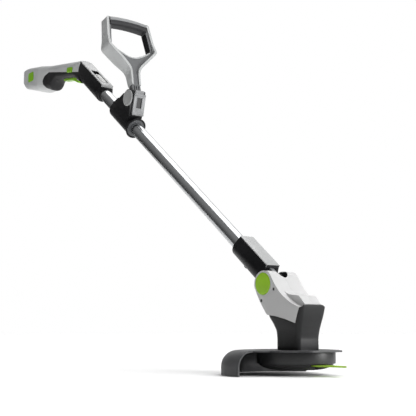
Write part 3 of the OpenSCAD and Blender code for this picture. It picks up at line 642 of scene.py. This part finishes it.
def make_rear_handle():
    """Two light shells above the seam and the black wrap below it, all cut from the same skin."""
    above = SEAM + [(COLLAR_X, 790), (-1000, 820), (-1000, 690)]
    for node, low, high in (("handle_shell_left", 0.12, 40), ("handle_shell_right", -40, -0.12)):
        shell = handle_skin(node + "_form")
        combine(shell, prism("cut", fillet(above), low, high, head_side), "INTERSECT")
        if node.endswith("right"):
            combine(shell, lock_button_window(), "DIFFERENCE")
        else:
            for x, z in SCREW_PLACES:
                hole = round_outline(x, z, SCREW_HOLE_R)
                combine(shell, prism("cut", hole, SCREW_SEAT, 40, head_side), "DIFFERENCE")
        soften(shell, 0.5)
        finish_piece(shell, node)
    wrap = handle_skin("grip_wrap_form")
    below = SEAM + [(COLLAR_X, 690)]
    combine(wrap, prism("cut", fillet(below), -45, 45, head_side), "INTERSECT")
    combine(wrap, lock_button_window(), "DIFFERENCE")
    soften(wrap, 0.6)
    finish_piece(wrap, "grip_wrap")


# ---------------------------------------------------------------- motor housing

HOUSING_FOOT = 44
HOUSING_RISE = 83
HOUSING_RINGS = 42


def make_motor_housing():
    """A column that swells forward and back, with a saddle for the head and an arched front."""
    # Each table gives a measure at heights above the floor
    back = [(44, -26), (62, -26), (76, -27), (90, -33.5), (104, -43.5), (119, -48)]
    front = [(44, 35), (62, 35), (76, 37), (90, 40.5), (104, 45), (119, 48.6), (127, 50)]
    half = [(44, 28), (62, 28), (76, 28.4), (90, 29.7), (104, 31), (119, 31.8), (127, 32)]
    rings = []
    for k in range(HOUSING_RINGS):
        z = HOUSING_FOOT + HOUSING_RISE * k / (HOUSING_RINGS - 1)
        low, high, side = smooth_value(back, z), smooth_value(front, z), smooth_value(half, z)
        ring = fillet([(low, -side, 12), (high, -side, 9), (high, side, 9), (low, side, 12)], 8)
        rings.append([on_head(x, y, z) for x, y in ring])
    form = loft("motor_housing_form", rings)
    # Saddle that the white head sits in
    seat = [(-70, 200), (-70, 112), (-45, 109.6), (-41.2, 106.9), (-20, 104.3), (6, 98.8),
            (30.9, 91.5, 2), (43.4, 120.2), (44, 200)]
    combine(form, prism("cut", fillet(seat), -60, 60, head_side), "DIFFERENCE")
    # Arched top, seen from the front
    arch = [(-45, 30), (45, 30), (45, 108), (32.2, 118.2, 4), (19, 124.4, 16), (-19, 124.4, 16),
            (-32.2, 118.2, 4), (-45, 108)]
    combine(form, prism("cut", fillet(arch), -90, 90, head_front), "INTERSECT")
    soften(form, 1.1, 4, 32)
    finish_piece(form, "motor_housing")


# ---------------------------------------------------------------- white joint housing

CAP_PLACE = (-50.4, 164)
CAP_SEAT_R = 20.8
CAP_FLOOR = 32.5
KNUCKLE_R = 24
NECK_SLOT_X = -40.5
NECK_SLOT_HALF = 14
HEAD_SCREWS = [(-21.2, 153), (-56.2, 133)]
HEAD_SCREW_HOLE_R = 3.1


def make_head():
    """Left and right halves, with the neck's slot, the seats of the caps and the screw holes."""
    # Outline from the side: foot, hollow sweep of the front, bend, and round knuckle
    sweep_x, sweep_z, sweep_r = 75.7, 232.5, 117
    swept = [(sweep_x - math.sqrt(sweep_r ** 2 - (sweep_z - z) ** 2), z)
             for z in range(122, 175, 2)]
    bend = bent((-25.6, 174), (-33.7, 188), (-46, 188))
    side = [(-72, 155), (-68, 145.9), (-58, 128.5), (-45, 110), (-41.2, 107.1), (-20, 104.5),
            (6, 99), (30.8, 91.8), (43.1, 120.1)]
    side += swept + bend + arc(*CAP_PLACE, KNUCKLE_R, 90, 200)
    walls = [(-30.5, 85), (30.5, 85), (34, 150), (34, 200), (-34, 200), (-34, 150)]
    # Flat-topped nose that steps out of the swept front
    nose = [(-20, 130), (-16, 158), (-9, 151.2), (-2, 146.4), (6, 143.4), (15, 142.0),
            (31, 140.4, 7), (45.6, 125.4, 1.5), (42.8, 119), (20, 110)]
    # Space for the motor
    hollow = [(-44, 116), (22, 106), (26, 113), (-4, 131), (-22, 138), (-48, 138)]
    slot = [(-90, -NECK_SLOT_HALF)] + arc(NECK_SLOT_X, 0, NECK_SLOT_HALF, -90, 90)
    slot += [(-90, NECK_SLOT_HALF)]
    cap_seat = arc(*CAP_PLACE, CAP_SEAT_R, 0, 350, 71)
    nose_half = 20.2
    for node, low, high in (("head_shell_left", 0.08, 60), ("head_shell_right", -60, -0.08)):
        on_left = low > 0
        shell = prism(node + "_form", side, low, high, head_side)
        combine(shell, prism("cut", walls, -110, 70, head_front), "INTERSECT")
        inner, outer = (low, nose_half) if on_left else (-nose_half, high)
        combine(shell, prism("join", fillet(nose), inner, outer, head_side), "UNION")
        combine(shell, prism("cut", hollow, -26, 26, head_side), "DIFFERENCE")
        combine(shell, prism("cut", slot, 150, 210, on_head), "DIFFERENCE")
        seat_low, seat_high = (CAP_FLOOR, 50) if on_left else (-50, -CAP_FLOOR)
        combine(shell, prism("cut", cap_seat, seat_low, seat_high, head_side), "DIFFERENCE")
        if not on_left:
            for x, z in HEAD_SCREWS:
                hole = round_outline(x, z, HEAD_SCREW_HOLE_R)
                combine(shell, prism("cut", hole, -50, -29, head_side), "DIFFERENCE")
        soften(shell, 1.2, 4)
        finish_piece(shell, node)


# ---------------------------------------------------------------- painted shade, a painted highlight and small trim

def paint_neck_slot_shade():
    """Black sheet inside the slot that the neck swings in: painted shade, standing in for the
    shadow in the slot.
    """
    steps = 18
    turns = [math.pi * k / steps for k in range(steps + 1)]
    outer = [(-72, NECK_SLOT_HALF)]
    outer += [(NECK_SLOT_X + NECK_SLOT_HALF * math.sin(a), NECK_SLOT_HALF * math.cos(a))
              for a in turns]
    outer += [(-72, -NECK_SLOT_HALF)]
    inner = [(x - 0.5 if x > -40 else x, y * 0.96) for x, y in outer]
    # A black sheet painted as the shade inside the neck's slot
    slot_shade = prism("neck_slot_painted_shade", outer + list(reversed(inner)), 152, 186.5, on_head)
    keep = [(-75, 150), (-75, 176), (-66, 184), (-40, 187), (-34, 183), (-28, 176), (-22, 168),
            (-16, 150)]
    combine(slot_shade, prism("cut", keep, -20, 20, head_side), "INTERSECT")
    dress(slot_shade, body_of("head_shell_left"), "black")


def paint_coupling_strip_shade():
    """Dark plate on the end face of the coupling's light strip: painted shade for that end face,
    which lies in shadow.
    """
    outline = [(17.5, -15.4), (23.3, -15.4), (23.3, 15.4), (17.5, 15.4)]
    face = prism("coupling_strip_end_painted_shade", outline, 28.1, 28.6, on_shaft)
    # A dark plate painted as the shade on the strip's end face
    dress(face, body_of("coupling_cover"), "pad")


def floor_lever_window():
    """Dark floor of the lever's window."""
    outline = [(-6.6, -21.2), (6.6, -21.2), (6.6, 2.6), (-6.6, 2.6)]
    face = prism("lever_window_floor", outline, 11.5, 12.1, on_lever)
    dress(face, body_of("clamp_lever"), "black")


def paint_loop_foot_highlight():
    """Light-grey bead along the foot of the loop's opening: a painted highlight, for the lit upper
    face of the loop's foot.
    """
    foot = [(0, 106.4), (10, 107.4), (25, 113.2), (42, 122.3), (52, 129.5)]
    radius = 2.1
    turns = [math.radians(30 * j) for j in range(12)]
    rings = []
    for k in range(41):
        y = -52 + 104 * k / 40
        z = smooth_value(foot, abs(y))
        slope = 0.0 if abs(y) < 6 else math.copysign(0.5, y)
        rings.append([on_loop(8.6 + radius * math.cos(a) * 1.1, y - radius * math.sin(a) * slope,
                              z + radius * math.sin(a)) for a in turns])
    # The bead's light grey is a painted highlight
    dress(loft("loop_bead_painted_highlight", rings), body_of("front_handle_core"), "side")


def paint_loop_arm_shade():
    """Black strips on the inner faces of the loop's arms: painted shade between the arms."""
    band = [(53.9, 134), (54.4, 134), (49.5, 187), (49.0, 187)]
    for name, side in (("arm_painted_shade_right", -1), ("arm_painted_shade_left", 1)):
        strip = prism(name, band, -8.8, 8.8, lambda y, z, x: on_loop(x, side * y, z))
        # Black strips painted as the shade on the arms' inner faces
        dress(strip, body_of("front_handle_core"), "black")


# ---------------------------------------------------------------- everything in order

# CAD nodes shown as they are but for rounded edges, with the width of the rounding in mm
ROUNDED = {
    "collar_body": 1.2, "collar_cover": 0.6, "coupling_body": 1.2, "coupling_cover": 0.6,
    "clamp_body": 1.2, "clamp_lever": 0.8, "tube_latch": 0.4, "lock_button": 1.2, "trigger": 1.0,
    "battery_release_left": 0.8, "battery_release_right": 0.8, "tilt_cap_left": 0.4,
    "tilt_cap_right": 0.4, "clamp_cap_left": 0.4, "clamp_cap_right": 0.4, "guard": 0.6,
    "disc_drum": 0.8, "cutting_disc": 0.5, "battery_case": 3.0, "neck": 0.8,
    "front_handle_core": 1.5, "front_handle_side_left": 1.2, "front_handle_side_right": 1.2,
    "front_grip_top": 0.6, "front_grip_pad": 0.6, "blade": 0.3,
}

add_camera()
add_stage()
make_rear_handle()
make_handle_screws()
make_motor_housing()
make_head()
paint_neck_slot_shade()
paint_coupling_strip_shade()
floor_lever_window()
paint_loop_foot_highlight()
paint_loop_arm_shade()
for node_name, edge in ROUNDED.items():
    moulded(node_name, edge)
